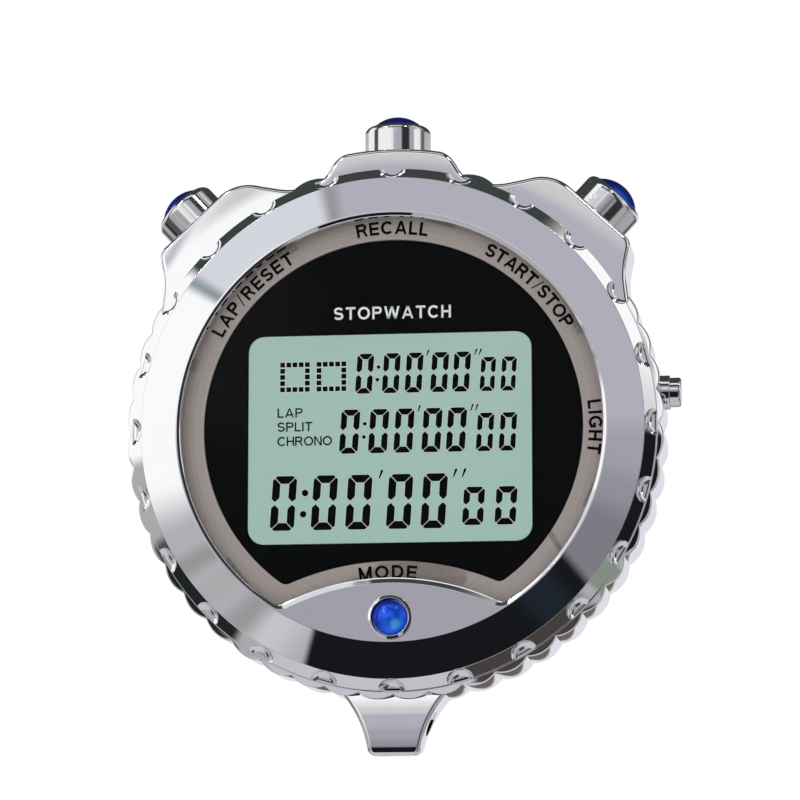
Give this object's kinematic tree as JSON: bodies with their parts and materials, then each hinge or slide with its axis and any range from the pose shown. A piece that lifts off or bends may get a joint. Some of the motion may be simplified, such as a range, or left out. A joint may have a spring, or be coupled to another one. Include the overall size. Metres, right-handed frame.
{
  "type": "digital stopwatch",
  "caption": "Hand-held digital stopwatch in a round chromed case with a lobed rim, sprung push-buttons with blue caps, a display window and a lanyard lug.",
  "frame": {"origin": "centre of the back cover's flat outer face, on the dial axis", "axes": "+Y is the outward normal of the back face, so the dial faces -Y; +Z points to the top of the dial (RECALL button); +X is the dial's right as the user reads it (START/STOP side)"},
  "size_m": [0.07, 0.0202, 0.0821],
  "materials": {
    "chrome_case": "polished chrome plating",
    "chrome_bezel": "polished chrome plating",
    "chrome_button": "polished chrome plating over turned brass",
    "steel_cover": "circular-brushed stainless steel",
    "spring_steel": "bright drawn spring steel",
    "crystal_glass": "clear, flat, polished",
    "lcd_glass": "reflective liquid-crystal cell, grey-green",
    "dial_black": "gloss black print",
    "dial_ring_grey": "fine-brushed, warm grey",
    "rubber_black": "matte",
    "gasket_film": "matte adhesive film",
    "jewel_blue": "deep cobalt blue, polished",
    "moulding_white": "moulded, fine texture",
    "moulding_black": "moulded, fine texture",
    "light_guide_clear": "frosted acrylic",
    "pcb_green": "solder mask",
    "epoxy_black": "cured epoxy",
    "ceramic_cap": "matte",
    "led_body": "moulded",
    "brass_plain": "rolled",
    "piezo_ceramic": "silvered",
    "cell_steel": "nickel-plated"
  },
  "bodies": {
    "case": {"front_bezel": "chrome_bezel", "bezel_gasket": "rubber_black", "lens": "crystal_glass", "lens_gasket": "gasket_film", "dial_ring": "dial_ring_grey", "dial_plate": "dial_black", "middle_case": "chrome_case", "case_gasket": "rubber_black", "back_cover": "steel_cover", "back_cover_screws": "spring_steel", "movement_ring": "moulding_white", "lcd_holder": "moulding_white", "lcd_cell": "lcd_glass", "light_guide": "light_guide_clear", "backlight_led": "led_body", "zebra_strips": "rubber_black", "main_pcb": "pcb_green", "pcb_screws": "spring_steel", "ic_blob": "epoxy_black", "crystal": "cell_steel", "chip_capacitors": "ceramic_cap", "switch_contacts": "brass_plain", "mode_switch_dome": "spring_steel", "battery_cradle": "moulding_black", "battery": "cell_steel", "battery_clip": "spring_steel", "negative_contact": "brass_plain", "buzzer_plate": "brass_plain", "buzzer_ceramic": "piezo_ceramic", "buzzer_springs": "spring_steel", "recall_spring": "spring_steel", "start_stop_spring": "spring_steel", "lap_reset_spring": "spring_steel", "light_bush": "chrome_button", "light_spring": "spring_steel", "mode_bush": "chrome_button", "mode_spring": "spring_steel"},
    "recall_body": {"recall_button": "chrome_button", "recall_jewel": "jewel_blue", "recall_o_ring": "rubber_black", "recall_clip": "spring_steel"},
    "start_stop_body": {"start_stop_button": "chrome_button", "start_stop_jewel": "jewel_blue", "start_stop_o_ring": "rubber_black", "start_stop_clip": "spring_steel"},
    "lap_reset_body": {"lap_reset_button": "chrome_button", "lap_reset_jewel": "jewel_blue", "lap_reset_o_ring": "rubber_black", "lap_reset_clip": "spring_steel"},
    "light_body": {"light_button": "chrome_button", "light_o_ring": "rubber_black", "light_clip": "spring_steel"},
    "mode_body": {"mode_button": "moulding_black", "mode_jewel": "jewel_blue", "mode_clip": "spring_steel"}
  },
  "joints": [
    {"name": "recall_press", "type": "slide", "parent": "case", "child": "recall_body", "axis": [0, 0, -1], "range_m": [0, 0.0012], "stiffness_N_per_m": 200, "springref_m": -0.0005, "deforming": ["recall_spring"]},
    {"name": "start_stop_press", "type": "slide", "parent": "case", "child": "start_stop_body", "axis": [-0.682, 0, -0.7314], "range_m": [0, 0.0012], "stiffness_N_per_m": 200, "springref_m": -0.0005, "deforming": ["start_stop_spring"]},
    {"name": "lap_reset_press", "type": "slide", "parent": "case", "child": "lap_reset_body", "axis": [0.682, 0, -0.7314], "range_m": [0, 0.0012], "stiffness_N_per_m": 200, "springref_m": -0.0005, "deforming": ["lap_reset_spring"]},
    {"name": "light_press", "type": "slide", "parent": "case", "child": "light_body", "axis": [-1, 0, 0], "range_m": [0, 0.0008], "stiffness_N_per_m": 60, "springref_m": -0.0005, "deforming": ["light_spring"]},
    {"name": "mode_press", "type": "slide", "parent": "case", "child": "mode_body", "axis": [0, 1, 0], "range_m": [0, 0.0007], "stiffness_N_per_m": 60, "springref_m": -0.0005, "deforming": ["mode_spring"]}
  ]
}
